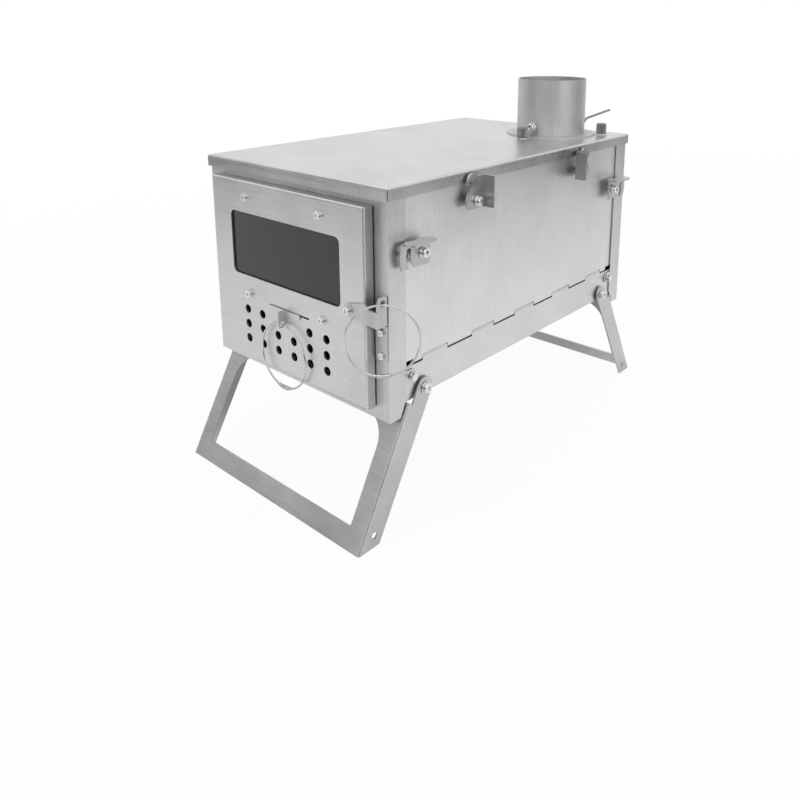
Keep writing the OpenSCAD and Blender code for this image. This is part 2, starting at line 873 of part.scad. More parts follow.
module hinge_rivets() {
    color("gray") for (z = rivet_heights()) {
        bar_y(-rivet_x(), -frame_y - sheet_t - rivet_head_t, -frame_y + sheet_t + rivet_head_t, z, rivet_r);
        bar_y(-rivet_x(), -frame_y - sheet_t - rivet_head_t, -frame_y - sheet_t, z, rivet_head_r);
        bar_y(-rivet_x(), -frame_y + sheet_t, -frame_y + sheet_t + rivet_head_t, z, rivet_head_r);
    }
}

// Window

module window_gasket() {
    color("black") front_plate(door_inner_y, gasket_t) translate([0, window_mid]) difference() {
        round_rect(window_w + 2 * gasket_lap, window_h + 2 * gasket_lap, window_r);
        round_rect(window_w, window_h, window_r);
    }
}

module window_glass() {
    color("black", 0.6) front_plate(glass_y, glass_t) translate([0, window_mid])
        round_rect(window_w + 2 * glass_lap, window_h + 2 * glass_lap, window_r / 2);
}

module window_frame() {
    color("darkgray") difference() {
        front_plate(glass_back_y, window_frame_t) difference() {
            union() {
                translate([0, window_mid])
                    round_rect(window_w + 2 * window_frame_lap, window_h + 2 * window_frame_lap, window_r);
                for (sx = [-1, 1], z = [screw_low_z, screw_top_z]) {
                    translate([sx * screw_x, z]) circle(tab_r);
                    translate([sx * screw_x - tab_r, min(z, window_mid)])
                        square([2 * tab_r, abs(window_mid - z)]);
                }
            }
            translate([0, window_mid]) round_rect(window_w, window_h, window_r);
        }
        window_screw_places() bar_y(0, -glass_back_y - over, -window_frame_y + over, 0, screw_r + running);
    }
}

module window_screws() {
    color("white") window_screw_places()
        screw_y(0, 0, door_face_y, window_frame_y - screw_nut_t, screw_r, screw_head_r, screw_head_t);
}

module window_nuts() {
    color("gray") window_screw_places() {
        translate([0, -window_frame_y, 0]) rotate([-90, 0, 0]) difference() {
            cylinder(h = screw_nut_t, r = screw_nut_r, $fn = 6);
            translate([0, 0, -over]) cylinder(h = screw_nut_t + 2 * over, r = screw_r + running);
        }
        difference() {
            bar_y(0, -door_inner_y, -glass_back_y, 0, screw_nut_r * spacer_share);
            bar_y(0, -door_inner_y - over, -glass_back_y + over, 0, screw_r + running);
        }
    }
}

// Air slide with its guides and its ring

module guide_strip(z_low, up) {
    translate([-guide_x, -door_inner_y, z_low]) cube([2 * guide_x, slide_t + 2 * slide_gap, guide_w]);
    translate([-guide_x, -door_inner_y + slide_t + 2 * slide_gap, up ? z_low - guide_lap : z_low])
        cube([2 * guide_x, guide_t, guide_w + guide_lap]);
}

module slide_guides() {
    color("gray") {
        guide_strip(slide_low - slide_gap - guide_w, false);
        difference() {
            guide_strip(slide_top + slide_gap, true);
            translate([tongue_x - slit_end_gap, -door_face_y, slide_top - 2 * guide_lap])
                cube([tongue_w + slide_travel + 2 * slit_end_gap, door_depth, guide_w + 4 * guide_lap]);
        }
    }
}

module air_slide() {
    tongue_top = slit_z + slide_t / 2;
    slide_y = door_inner_y - slide_gap;
    color("silver") difference() {
        union() {
            front_plate(slide_y, slide_t) {
                translate([-slide_x, slide_low]) square([2 * slide_x, slide_top - slide_low]);
                translate([tongue_x, slide_low]) square([tongue_w, tongue_top - slide_low]);
            }
            translate([tongue_x, -tongue_y - slide_t, slit_z - slide_t / 2])
                cube([tongue_w, tongue_y + slide_t - slide_y + slide_t, slide_t]);
            translate([tongue_x, -tongue_y - slide_t, tongue_top - tongue_drop])
                cube([tongue_w, slide_t, tongue_drop]);
            side_plate(ear_x - slide_t / 2, slide_t) difference() {
                union() {
                    translate([-tongue_y - slide_t, air_eye_z]) square([slide_t, tongue_top - air_eye_z]);
                    translate([-air_ring_y - ear_top_r, air_eye_z])
                        square([air_ring_y + ear_top_r - tongue_y, tongue_top - air_eye_z]);
                    translate([-air_ring_y, air_eye_z]) circle(ear_top_r);
                }
                translate([-air_ring_y, air_eye_z]) circle(eye_r);
            }
        }
        vent_holes(slide_t + 2 * over, slide_y + over);
    }
}

// A wire ring that hangs from the origin in the XZ plane, open at its barrel
module wire_ring() {
    translate([0, 0, -ring_r]) rotate([90, 0, 0]) rotate([0, 0, -90 + barrel_angle / 2])
        rotate_extrude(angle = 360 - barrel_angle, $fn = 96) translate([ring_r, 0]) circle(wire_r, $fn = 24);
}

// The barrel that joins the ends of the wire
module ring_barrel() {
    translate([0, 0, -ring_r]) rotate([90, 0, 0]) rotate([0, 0, -90 - barrel_angle / 2])
        rotate_extrude(angle = barrel_angle, $fn = 96) translate([ring_r, 0]) circle(barrel_r, $fn = 24);
}

module air_ring() {
    color("white") translate([ear_x, -air_ring_y, air_ring_z + ring_r]) wire_ring();
}

module air_ring_barrel() {
    color("gray") translate([ear_x, -air_ring_y, air_ring_z + ring_r]) ring_barrel();
}

// Door latch, its ring and the catch on the frame

module door_latch() {
    side_in = latch_side_x - latch_t;
    color("gainsboro") difference() {
        union() {
            front_plate(latch_front_y, latch_t) {
                translate([latch_pivot_x, latch_pivot_z]) circle(latch_end_r);
                polygon([[latch_pivot_x, latch_pivot_z - latch_end_r], [latch_side_x, latch_low_z],
                    [latch_side_x, latch_neck_z], [latch_neck_x, latch_neck_z],
                    [latch_rise_x, latch_rise_z], [latch_pivot_x, latch_pivot_z + latch_end_r]]);
            }
            side_plate(side_in, latch_t) {
                translate([-latch_front_y, latch_low_z])
                    square([latch_front_y - latch_back_y, latch_neck_z - latch_low_z]);
                translate([-latch_eye_y - latch_ear_r, latch_low_z])
                    square([latch_eye_y + latch_ear_r - latch_back_y, latch_eye_z - latch_low_z]);
                intersection() {
                    translate([-latch_eye_y, latch_eye_z]) circle(latch_ear_r);
                    translate([-latch_front_y, latch_low_z])
                        square([latch_front_y - latch_back_y, 2 * latch_ear_r + latch_eye_z - latch_low_z]);
                }
            }
        }
        bar_x(side_in - over, latch_side_x + over, -latch_eye_y, latch_eye_z, latch_eye_r);
        bar_y(latch_pivot_x, -latch_front_y - over, -door_face_y + over, latch_pivot_z, screw_r + running);
    }
}

module door_latch_screw() {
    color("white") {
        screw_y(latch_pivot_x, latch_pivot_z, latch_front_y, door_inner_y - screw_nut_t, screw_r,
            screw_head_r, screw_head_t);
        translate([latch_pivot_x, -door_inner_y, latch_pivot_z]) rotate([-90, 0, 0]) difference() {
            cylinder(h = screw_nut_t, r = screw_nut_r, $fn = 6);
            translate([0, 0, -over]) cylinder(h = screw_nut_t + 2 * over, r = screw_r);
        }
    }
}

module door_ring_place() {
    translate([latch_side_x - latch_t / 2, -latch_eye_y, door_ring_z + ring_r])
        rotate([0, 0, door_ring_angle]) children();
}

module door_ring() {
    color("white") door_ring_place() wire_ring();
}

module door_ring_barrel() {
    color("gray") door_ring_place() ring_barrel();
}

module door_catch() {
    color("silver") difference() {
        union() {
            front_plate(frame_y + latch_t, latch_t) {
                translate([catch_x, catch_low]) square([catch_w, catch_shoulder - catch_low]);
                translate([catch_x, catch_low]) square([catch_in_x - catch_x, catch_top - catch_low]);
            }
            side_plate(catch_in_x - latch_t, latch_t) {
                translate([-catch_ear_y, catch_shoulder + over])
                    square([catch_ear_y - frame_y, catch_top - catch_shoulder - over]);
            }
        }
        for (z = [catch_screw_low, catch_screw_high])
            bar_y(catch_screw_x, -frame_y - latch_t - over, -frame_y + over, z, screw_r + running);
    }
}

module door_catch_screws() {
    color("white") for (z = [catch_screw_low, catch_screw_high]) {
        screw_y(catch_screw_x, z, frame_y + latch_t, frame_y - sheet_t - screw_nut_t, screw_r,
            screw_head_r * catch_head_share, screw_head_t * catch_head_t_share);
        translate([catch_screw_x, -frame_y + sheet_t, z]) rotate([-90, 0, 0]) difference() {
            cylinder(h = screw_nut_t, r = screw_nut_r, $fn = 6);
            translate([0, 0, -over]) cylinder(h = screw_nut_t + 2 * over, r = screw_r);
        }
    }
}

// Flue collar and damper

module flue_bolts() {
    for (a = [-90, 30, 150]) translate([flue_x + lug_at * cos(a), flue_y + lug_at * sin(a), 0])
        rotate([0, 0, a]) children();
}

module flue_collar() {
    color("silver") difference() {
        union() {
            translate([flue_x, flue_y, stove_h]) cylinder(h = flue_h, r = flue_r, $fn = 96);
            translate([flue_x, flue_y, stove_h]) cylinder(h = base_t, r = base_r, $fn = 96);
            flue_bolts() translate([0, 0, stove_h]) {
                cylinder(h = base_t, r = lug_r);
                translate([-lug_at / 4, -lug_r, 0]) cube([lug_at / 4, 2 * lug_r, base_t]);
            }
        }
        translate([flue_x, flue_y, stove_h - over]) cylinder(h = flue_h + 2 * over, r = flue_bore, $fn = 96);
        bar_y(flue_x, flue_y - flue_r - over, flue_y + flue_r + over, damper_z, axle_r + running);
        flue_bolts() translate([0, 0, stove_h - over])
            cylinder(h = base_t + 2 * over, r = flue_stud_r + running);
    }
}

module flue_studs() {
    color("gray") flue_bolts() {
        translate([0, 0, plate_under - flue_stud_head_t])
            cylinder(h = flue_stud_head_t + plate_t + base_t + nut_h * stud_share, r = flue_stud_r);
        translate([0, 0, plate_under - flue_stud_head_t]) cylinder(h = flue_stud_head_t, r = flue_stud_head_r);
    }
}

module flue_thumb_nuts() {
    color("gray") flue_bolts() translate([0, 0, stove_h + base_t]) difference() {
        cylinder(h = nut_h, r = nut_r);
        translate([0, 0, -over]) cylinder(h = nut_h * nut_bore_share + over, r = flue_stud_r + running);
        for (i = [0 : nut_grooves - 1]) rotate([0, 0, i * 360 / nut_grooves])
            translate([nut_r, 0, -over]) cylinder(h = nut_h - nut_groove_r * 2 + over, r = nut_groove_r,
                $fn = 16);
    }
}

// A straight run of the axle wire, with what follows at its end
module wire_run(len) {
    cylinder(h = len, r = axle_r);
    translate([0, 0, len]) children();
}

// A bend of the axle wire towards its own +X, with what follows at its end
module wire_bend(a) {
    translate([bend_r, 0, 0]) rotate([90, 0, 0]) rotate([0, 0, 180 - a])
        rotate_extrude(angle = a) translate([bend_r, 0]) circle(axle_r);
    translate([bend_r * (1 - cos(a)), 0, bend_r * sin(a)]) rotate([0, a, 0]) children();
}

module damper_axle() {
    start = flue_r + slide_gap + end_washer_t;
    color("lightgray") difference() {
        translate([flue_x, flue_y - start, damper_z]) rotate([-90, 0, 0])
            wire_run(start + handle_y - flue_y - bend_r)
            wire_bend(90) rotate([0, 0, -90])
            wire_run(handle_run)
            wire_bend(handle_kink_angle)
            wire_run(handle_step) rotate([0, 0, 180])
            wire_bend(handle_kink_angle - handle_slope_angle)
            wire_run(handle_len);
        for (s = [-1, 1]) translate([flue_x, flue_y + s * disc_screw_y, damper_z - axle_r - over])
            cylinder(h = 2 * axle_r + 2 * over, r = disc_screw_r + running);
    }
}

module damper_disc() {
    color("darkgray") difference() {
        translate([flue_x, flue_y, damper_z + axle_r]) cylinder(h = disc_t, r = disc_r, $fn = 96);
        for (s = [-1, 1]) translate([flue_x, flue_y + s * disc_screw_y, damper_z])
            cylinder(h = axle_r + disc_t + over, r = disc_screw_r + running);
    }
}

module damper_screws() {
    top = damper_z + axle_r + disc_t;
    color("gray") for (s = [-1, 1]) translate([flue_x, flue_y + s * disc_screw_y, 0]) {
        translate([0, 0, damper_z - axle_r - disc_screw_head_t])
            cylinder(h = top - damper_z + axle_r + 2 * disc_screw_head_t, r = disc_screw_r);
        translate([0, 0, top]) cylinder(h = disc_screw_head_t, r = disc_screw_head_r);
        translate([0, 0, damper_z - axle_r - disc_screw_head_t])
            cylinder(h = disc_screw_head_t, r = disc_screw_head_r);
    }
}

module damper_end_screw() {
    y1 = flue_y - flue_r - slide_gap;
    color("white") difference() {
        union() {
            bar_y(flue_x, y1 - end_washer_t, y1, damper_z, end_washer_r);
            bar_y(flue_x, y1 - end_washer_t - end_head_t, y1 - end_washer_t, damper_z, end_head_r);
        }
        bar_y(flue_x, y1 - end_washer_t, y1 + over, damper_z, axle_r);
        socket_y(flue_x, y1 - end_washer_t - end_head_t, damper_z, end_head_r / 2, end_head_t / 2);
    }
}

// Latches, drawn for the front right corner about the pivot as (y, z)

// A quarter of a round slot about the pivot, from its closed end onwards
module latch_slot(from, slot_r, hw) {
    reach = 2 * slot_r;
    rotate(from) {
        translate([slot_r, 0]) circle(hw);
        difference() {
            circle(slot_r + hw);
            circle(slot_r - hw);
            translate([-reach, -reach]) square([2 * reach, reach]);
            translate([-reach, -reach]) square([reach, 2 * reach]);
        }
    }
}

module side_latch_outline() {
    difference() {
        intersection() {
            circle(side_latch_len);
            translate([-side_latch_len, -side_latch_down])
                square([side_latch_len + side_latch_in, side_latch_down + side_latch_up]);
        }
        latch_slot(side_slot_angle, side_slot_r, side_slot_hw);
        circle(pivot_r + running);
    }
}

// A finger tab with round outer corners, its root at zero
module tab_outline(reach, len, r) {
    square([reach - r, len]);
    translate([0, r]) square([reach, len - 2 * r]);
    for (y = [r, len - r]) translate([reach - r, y]) circle(r);
}

module side_latch() {
    translate([0, -side_latch_y, side_latch_z]) {
        side_plate(latch_x, latch_t) side_latch_outline();
        translate([latch_x, side_latch_in - side_tab_len, side_latch_up - latch_t]) linear_extrude(latch_t)
            tab_outline(latch_t + tab_reach, side_tab_len, side_tab_r);
    }
}

module top_latch_outline() {
    slot_angle = atan2(top_stud_off[1], top_stud_off[0]);
    difference() {
        union() {
            intersection() {
                circle(top_body_r);
                translate([-top_body_r, -top_latch_down])
                    square([top_body_r + top_latch_in, 2 * top_body_r]);
            }
            translate([0, -top_latch_down]) square([top_latch_in, top_latch_up + top_latch_down]);
            translate(top_stud_off) circle(top_hook_r);
            translate(top_stud_off) square([top_latch_in - top_stud_off[0], top_latch_up - top_stud_off[1]]);
        }
        latch_slot(slot_angle, norm(top_stud_off), top_slot_hw);
        circle(pivot_r + running);
    }
}

module top_latch() {
    translate([0, -top_latch_y, top_latch_z]) {
        side_plate(latch_x, latch_t) top_latch_outline();
        translate([latch_x, top_latch_in - latch_t, -top_latch_down])
            cube([latch_t + tab_reach, latch_t, top_latch_up + top_latch_down]);
    }
}

module side_latch_front_right() {
    color("gainsboro") side_latch();
}

module side_latch_front_left() {
    color("gainsboro") mirror([1, 0, 0]) side_latch();
}

module side_latch_rear_right() {
    color("gainsboro") mirror([0, 1, 0]) side_latch();
}

module side_latch_rear_left() {
    color("gainsboro") mirror([1, 0, 0]) mirror([0, 1, 0]) side_latch();
}

module top_latch_front_right() {
    color("gainsboro") top_latch();
}

module top_latch_front_left() {
    color("gainsboro") mirror([1, 0, 0]) top_latch();
}

module top_latch_rear_right() {
    color("gainsboro") mirror([0, 1, 0]) top_latch();
}

module top_latch_rear_left() {
    color("gainsboro") mirror([1, 0, 0]) mirror([0, 1, 0]) top_latch();
}

// Pivot places of both latches near the front
module latch_pivots() {
    translate([0, -side_latch_y, side_latch_z]) children();
    translate([0, -top_latch_y, top_latch_z]) children();
}

module latch_screws() {
    color("white") four_corners() latch_pivots()
        screw_x(panel_x - sheet_t - latch_nut_t - tip_proud, latch_out + slide_gap, 0, 0, pivot_r,
            latch_head_r, latch_head_t);
}

module latch_spacers() {
    color("gray") four_corners() latch_pivots() difference() {
        bar_x(panel_x, latch_x - slide_gap, 0, 0, spacer_r);
        bar_x(panel_x - over, latch_x + over, 0, 0, pivot_r + running);
    }
}

module latch_nuts() {
    color("gray") four_corners() latch_pivots()
        nut_x(panel_x - sheet_t - latch_nut_t, latch_nut_t, 0, 0, latch_nut_r, pivot_r + running);
}

module side_latch_studs() {
    color("dimgray") four_corners()
        bar_x(frame_x - sheet_t, latch_out + slide_gap, -side_latch_y - side_slot_r, side_latch_z, stud_r);
}

module top_latch_studs() {
    color("dimgray") four_corners() {
        bar_x(half_w - plate_t, latch_stud_out + stud_head_t, top_stud_y(), top_stud_z(), stud_r);
        bar_x(latch_stud_out, latch_stud_out + stud_head_t, top_stud_y(), top_stud_z(), stud_head_r);
    }
}

top_plate();
front_frame();
rear_panel();
side_panel_right();
side_panel_left();
tray();
fire_grate();
hinge_pin_right();
hinge_pin_left();
flue_collar();
flue_studs();
flue_thumb_nuts();
damper_axle();
damper_disc();
damper_screws();
damper_end_screw();
leg_front();
leg_rear();
leg_bolts();
leg_washers();
leg_nuts();
frame_studs();
door_pan();
door_hinge_leaf();
frame_hinge_leaf();
door_hinge_pin();
hinge_rivets();
window_gasket();
window_glass();
window_frame();
window_screws();
window_nuts();
slide_guides();
air_slide();
air_ring();
air_ring_barrel();
door_latch();
door_latch_screw();
door_ring();
door_ring_barrel();
door_catch();
door_catch_screws();
side_latch_front_right();
side_latch_front_left();
side_latch_rear_right();
side_latch_rear_left();
top_latch_front_right();
top_latch_front_left();
top_latch_rear_right();
top_latch_rear_left();
latch_screws();
latch_spacers();
latch_nuts();
side_latch_studs();
top_latch_studs();
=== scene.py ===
# %% [markdown]
# # A folding tent stove, dressed for its picture
# The stove is a box of thin sheet metal on two folding leg frames, with a
# glazed fire door in front and a short flue collar on its lid. Its sheets,
# pins and latches come from the CAD model with their true folds and gaps, so
# this file gives them their finishes. It adds what a CAD model keeps plain:
# chamfered screw heads with washers, knurled nuts and ring barrels.

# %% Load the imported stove
from math import atan2, cos, radians, sin, tau

import bmesh
import bpy
from mathutils import Matrix, Vector


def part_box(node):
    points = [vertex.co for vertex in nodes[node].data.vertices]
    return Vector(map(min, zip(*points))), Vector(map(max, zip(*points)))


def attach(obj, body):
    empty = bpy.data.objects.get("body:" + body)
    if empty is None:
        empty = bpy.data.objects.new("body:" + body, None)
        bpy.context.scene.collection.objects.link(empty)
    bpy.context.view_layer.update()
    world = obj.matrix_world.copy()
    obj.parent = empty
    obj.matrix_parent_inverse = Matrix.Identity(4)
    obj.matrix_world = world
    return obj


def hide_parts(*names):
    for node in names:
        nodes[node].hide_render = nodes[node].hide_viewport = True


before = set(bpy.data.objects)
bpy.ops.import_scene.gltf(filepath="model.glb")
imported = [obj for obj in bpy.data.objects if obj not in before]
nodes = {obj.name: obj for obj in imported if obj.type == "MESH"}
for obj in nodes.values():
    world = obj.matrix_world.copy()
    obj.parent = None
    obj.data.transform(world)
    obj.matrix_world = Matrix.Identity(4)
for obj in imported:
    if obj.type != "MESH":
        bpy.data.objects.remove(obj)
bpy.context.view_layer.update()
MM = 0.001

# %% [markdown]
# ## Colours and nodes
# Colours are written as a painter's hex value and turned into the linear
# numbers that shaders work with. One small function adds any node: its
# settings by name, its values by socket, and its links as (node, output).

# %% Colour and node helpers
def rgb(hex_value):
    """An sRGB hex colour as linear red, green and blue, and a full alpha."""
    parts = [int(hex_value[i:i + 2], 16) / 255 for i in (1, 3, 5)]
    return [c / 12.92 if c <= 0.04045 else ((c + 0.055) / 1.055) ** 2.4 for c in parts] + [1.0]


def add(tree, kind, values=None, links=None, **settings):
    """Adds a shader node with its settings, socket values and links."""
    node = tree.nodes.new("ShaderNode" + kind)
    for name, value in settings.items():
        setattr(node, name, value)
    for socket, value in (values or {}).items():
        node.inputs[socket].default_value = value
    for socket, (source, output) in (links or {}).items():
        tree.links.new(source.outputs[output], node.inputs[socket])
    return node


def new_material(name):
    material = bpy.data.materials.new(name)
    material.use_nodes = True
    tree = material.node_tree
    tree.nodes.clear()
    return material, tree


def finish_with(tree, shader):
    add(tree, "OutputMaterial", links={"Surface": (shader, 0)})


def ramp(tree, source, low, dark, high, light):
    """A colour ramp on the output source, from dark at low to light at high."""
    tone = add(tree, "ValToRGB", links={"Fac": source})
    tone.color_ramp.elements[0].position, tone.color_ramp.elements[0].color = low, rgb(dark)
    tone.color_ramp.elements[1].position, tone.color_ramp.elements[1].color = high, rgb(light)
    return tone


def finish_metal(tree, tone, rough, bump):
    metal = add(tree, "BsdfPrincipled", {"Metallic": 1.0},
                {"Base Color": (tone, "Color"), "Roughness": (rough, "Result"),
                 "Normal": (bump, "Normal")})
    finish_with(tree, metal)


# %% [markdown]
# ## Sheet metal
# The sheets are thin stainless or titanium plate, rolled, then blasted and
# lightly brushed. The eye sees three things: fine streaks along the rolling
# direction, a sand-like grain, and broad soft patches where the sheet was
# handled. All three change how rough the metal is more than its colour. The
# real grain is about 0.1 mm, finer than a pixel, so it is drawn 0.7 mm coarse.
# A painted image would need every sheet unwrapped. Three noise textures on
# Object coordinates need none of that, and stay on a sheet when it moves.

# %% The sheet metal
STREAK = 40 * MM
GRAIN = 0.7 * MM
STREAK_WIDTH = 1.5 * GRAIN
PATCH = 55 * MM


def sheet_metal(name, light, dark, roughness, along, spread=0.10, grain_depth=0.03):
    """Blasted and brushed sheet. along is the axis that the brushing follows."""
    material, tree = new_material(name)
    place = add(tree, "TexCoord")
    across = [1 / STREAK_WIDTH] * 3
    across["XYZ".index(along)] = 1 / STREAK
    stretched = add(tree, "Mapping", {"Scale": across}, {"Vector": (place, "Object")})
    streaks = add(tree, "TexNoise", {"Scale": 1.0, "Detail": 3.0, "Roughness": 0.6},
                  {"Vector": (stretched, 0)})
    grain = add(tree, "TexNoise", {"Scale": 1 / GRAIN, "Detail": 2.0},
                {"Vector": (place, "Object")})
    patches = add(tree, "TexNoise", {"Scale": 1 / PATCH, "Detail": 4.0, "Roughness": 0.55},
                  {"Vector": (place, "Object")})
    fine = add(tree, "Mix", {"Factor": 0.45}, {"A": (streaks, "Fac"), "B": (grain, "Fac")},
               data_type="FLOAT")
    both = add(tree, "Mix", {"Factor": 0.4}, {"A": (fine, 0), "B": (patches, "Fac")},
               data_type="FLOAT")
    tone = ramp(tree, (both, 0), 0.36, dark, 0.62, light)
    rough = add(tree, "MapRange", {"From Min": 0.3, "From Max": 0.7, "To Min": roughness - spread,
                                   "To Max": roughness + spread}, {"Value": (both, 0)})
    bump = add(tree, "Bump", {"Strength": 0.35, "Distance": grain_depth * MM},
               {"Height": (fine, 0)})
    finish_metal(tree, tone, rough, bump)
    return material


lid_sheet = sheet_metal("blasted_lid_sheet", "#D6D6D5", "#BABAB9", 0.32, "X")
side_sheet = sheet_metal("blasted_side_sheet", "#EAEAE9", "#D2D2D1", 0.38, "Z")
door_sheet = sheet_metal("blasted_door_sheet", "#DEDEDD", "#C6C6C5", 0.40, "X")
frame_sheet = sheet_metal("blasted_frame_sheet", "#DCDCDB", "#C4C4C3", 0.38, "Z")
tray_sheet = sheet_metal("blasted_tray_sheet", "#E4E4E3", "#CCCCCB", 0.38, "Y")
collar_sheet = sheet_metal("rolled_collar_sheet", "#CECECD", "#AEAEAD", 0.5, "Z")
leg_sheet = sheet_metal("blasted_leg_sheet", "#DADAD9", "#BABAB9", 0.42, "X", grain_depth=0.06)
latch_sheet = sheet_metal("blasted_latch_sheet", "#D0D0CF", "#B2B2B1", 0.36, "Z")
grate_sheet = sheet_metal("grate_sheet", "#A4A4A3", "#848483", 0.5, "Y")

# %% [markdown]
# ## Screws, nuts and wire
# Screws are polished stainless steel, so their chamfers flash. Nuts, pins and
# spacers are turned from plain steel, which is darker. Wire is drawn through
# a die and stays bright. All carry faint tool marks of about 0.1 mm. That is
# too fine for the picture, so one noise texture draws them 0.4 to 0.6 mm wide.

# %% Small metal parts
def turned_metal(name, light, dark, roughness, mark_mm, spread=0.06):
    """Turned or drawn metal with faint tool marks of about mark_mm."""
    material, tree = new_material(name)
    place = add(tree, "TexCoord")
    marks = add(tree, "TexNoise", {"Scale": 1 / (mark_mm * MM), "Detail": 2.0},
                {"Vector": (place, "Object")})
    tone = ramp(tree, (marks, "Fac"), 0.35, dark, 0.65, light)
    rough = add(tree, "MapRange", {"To Min": roughness - spread, "To Max": roughness + spread},
                {"Value": (marks, "Fac")})
    bump = add(tree, "Bump", {"Strength": 0.3, "Distance": 0.02 * MM}, {"Height": (marks, "Fac")})
    finish_metal(tree, tone, rough, bump)
    return material


screw_metal = turned_metal("polished_screw_steel", "#ECECEB", "#D2D2D1", 0.2, 0.5)
nut_metal = turned_metal("turned_nut_steel", "#A2A2A1", "#7C7C7B", 0.35, 0.4)
wire_metal = turned_metal("drawn_wire_steel", "#E4E4E3", "#B8B8B7", 0.22, 0.6)
pin_metal = turned_metal("hinge_pin_steel", "#ACACAB", "#8A8A89", 0.35, 0.5)

# %% [markdown]
# ## Window
# The pane is smoked ceramic glass: almost black from outside, smooth, with a
# clear reflection. Its seal is a woven glass-fibre tape, so it is dull and
# ribbed. Two wave textures cross as its threads do. A real weave repeats about
# every 1.2 mm. Here it repeats every 7.5 mm, which is coarser than it should be.
# A wave texture of scale 1 turns through 20 radians in a metre, and its scale
# is worked out from that.

# %% Glass and gasket
HAZE = 18 * MM
WEAVE = 7.54 * MM
WAVE_RADIANS = 20


def smoked_glass():
    material, tree = new_material("smoked_ceramic_glass")
    place = add(tree, "TexCoord")
    haze = add(tree, "TexNoise", {"Scale": 1 / HAZE, "Detail": 5.0}, {"Vector": (place, "Object")})
    rough = add(tree, "MapRange", {"To Min": 0.03, "To Max": 0.12}, {"Value": (haze, "Fac")})
    glass = add(tree, "BsdfPrincipled",
                {"Base Color": rgb("#2C2C2D"), "IOR": 1.52, "Transmission Weight": 0.45},
                {"Roughness": (rough, "Result")})
    finish_with(tree, glass)
    return material


def woven_tape():
    material, tree = new_material("woven_glass_fibre")
    place = add(tree, "TexCoord")
    scale = tau / WEAVE / WAVE_RADIANS
    warp, weft = [add(tree, "TexWave", {"Scale": scale, "Distortion": 0.6},
                      {"Vector": (place, "Object")}, bands_direction=way) for way in "XZ"]
    weave = add(tree, "Math", links={0: (warp, "Fac"), 1: (weft, "Fac")}, operation="MULTIPLY")
    tone = ramp(tree, (weave, 0), 0.0, "#2A2A29", 1.0, "#585858")
    bump = add(tree, "Bump", {"Strength": 0.6, "Distance": 0.2 * MM}, {"Height": (weave, 0)})
    cloth = add(tree, "BsdfPrincipled", {"Roughness": 0.9},
                {"Base Color": (tone, "Color"), "Normal": (bump, "Normal")})
    finish_with(tree, cloth)
    return material


pane_glass, seal_tape = smoked_glass(), woven_tape()

# %% [markdown]
# ## Finishes on the CAD pieces
# Each CAD solid keeps its shape and gets the finish of its real piece. The
# sheets were bent from flat stock, so the brushing runs the way each piece
# was laid on the sheet.

# %% Hand out the finishes
TURNING_LATCHES = [name for name in nodes
                   if "_latch_" in name and not name.endswith(("studs", "screw"))]
FINISHES = {
    lid_sheet: ["top_plate"],
    frame_sheet: ["front_frame", "rear_panel"],
    side_sheet: ["side_panel_right", "side_panel_left"],
    tray_sheet: ["tray"],
    grate_sheet: ["fire_grate"],
    leg_sheet: ["leg_front", "leg_rear"],
    door_sheet: ["door_pan", "air_slide", "slide_guides", "window_frame"],
    collar_sheet: ["flue_collar", "damper_disc"],
    latch_sheet: ["door_latch", "door_catch"] + TURNING_LATCHES,
    pin_metal: ["hinge_pin_right", "hinge_pin_left", "door_hinge_pin", "door_hinge_leaf",
                "frame_hinge_leaf", "side_latch_studs", "top_latch_studs", "flue_studs"],
    screw_metal: ["frame_studs"],
    nut_metal: ["leg_washers", "leg_nuts", "window_nuts", "latch_spacers", "latch_nuts",
                "hinge_rivets", "damper_screws"],
    wire_metal: ["damper_axle", "air_ring", "door_ring"],
    pane_glass: ["window_glass"],
    seal_tape: ["window_gasket"],
}
for material, names in FINISHES.items():
    for name in names:
        slots = nodes[name].data.materials
        slots.clear()
        slots.append(material)
print("finished", sum(len(names) for names in FINISHES.values()), "CAD pieces")

# %% [markdown]
# ## Finding where the screws go
# A screw node holds several solids. Merging a copy of its mesh and following
# the edges from point to point gives each solid's box, so the new screws stand
# exactly where the CAD ones do. Typed places could drift from the CAD model.

# %% Boxes of a node's solids
CAD_MERGE = 0.002 * MM
PIECE_MERGE = 0.0005 * MM


def solids_of(node):
    """The lowest and highest corners of each separate solid of a CAD node."""
    bm = bmesh.new()
    bm.from_mesh(nodes[node].data)
    bmesh.ops.remove_doubles(bm, verts=bm.verts, dist=CAD_MERGE)
    left, boxes = set(bm.verts), []
    while left:
        front, part = [left.pop()], []
        while front:
            vert = front.pop()
            part.append(vert.co.copy())
            for edge in vert.link_edges:
                other = edge.other_vert(vert)
                if other in left:
                    left.remove(other)
                    front.append(other)
        boxes.append((Vector(map(min, zip(*part))), Vector(map(max, zip(*part)))))
    bm.free()
    return boxes


def new_piece(name, bm, body, node, material, smooth=radians(35)):
    """Makes the piece from its bmesh, ties it to its body, gives it its finish and hides the CAD
    node it replaces.
    """
    bmesh.ops.remove_doubles(bm, verts=bm.verts, dist=PIECE_MERGE)
    bmesh.ops.recalc_face_normals(bm, faces=bm.faces)
    for edge in bm.edges:
        edge.smooth = len(edge.link_faces) == 2 and edge.calc_face_angle(0) < smooth
    for face in bm.faces:
        face.smooth = True
    mesh = bpy.data.meshes.new(name)
    bm.to_mesh(mesh)
    bm.free()
    piece = bpy.data.objects.new(name, mesh)
    bpy.context.scene.collection.objects.link(piece)
    mesh.materials.append(material)
    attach(piece, body)
    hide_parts(node)
    print(name, len(mesh.polygons), "faces")
    return piece


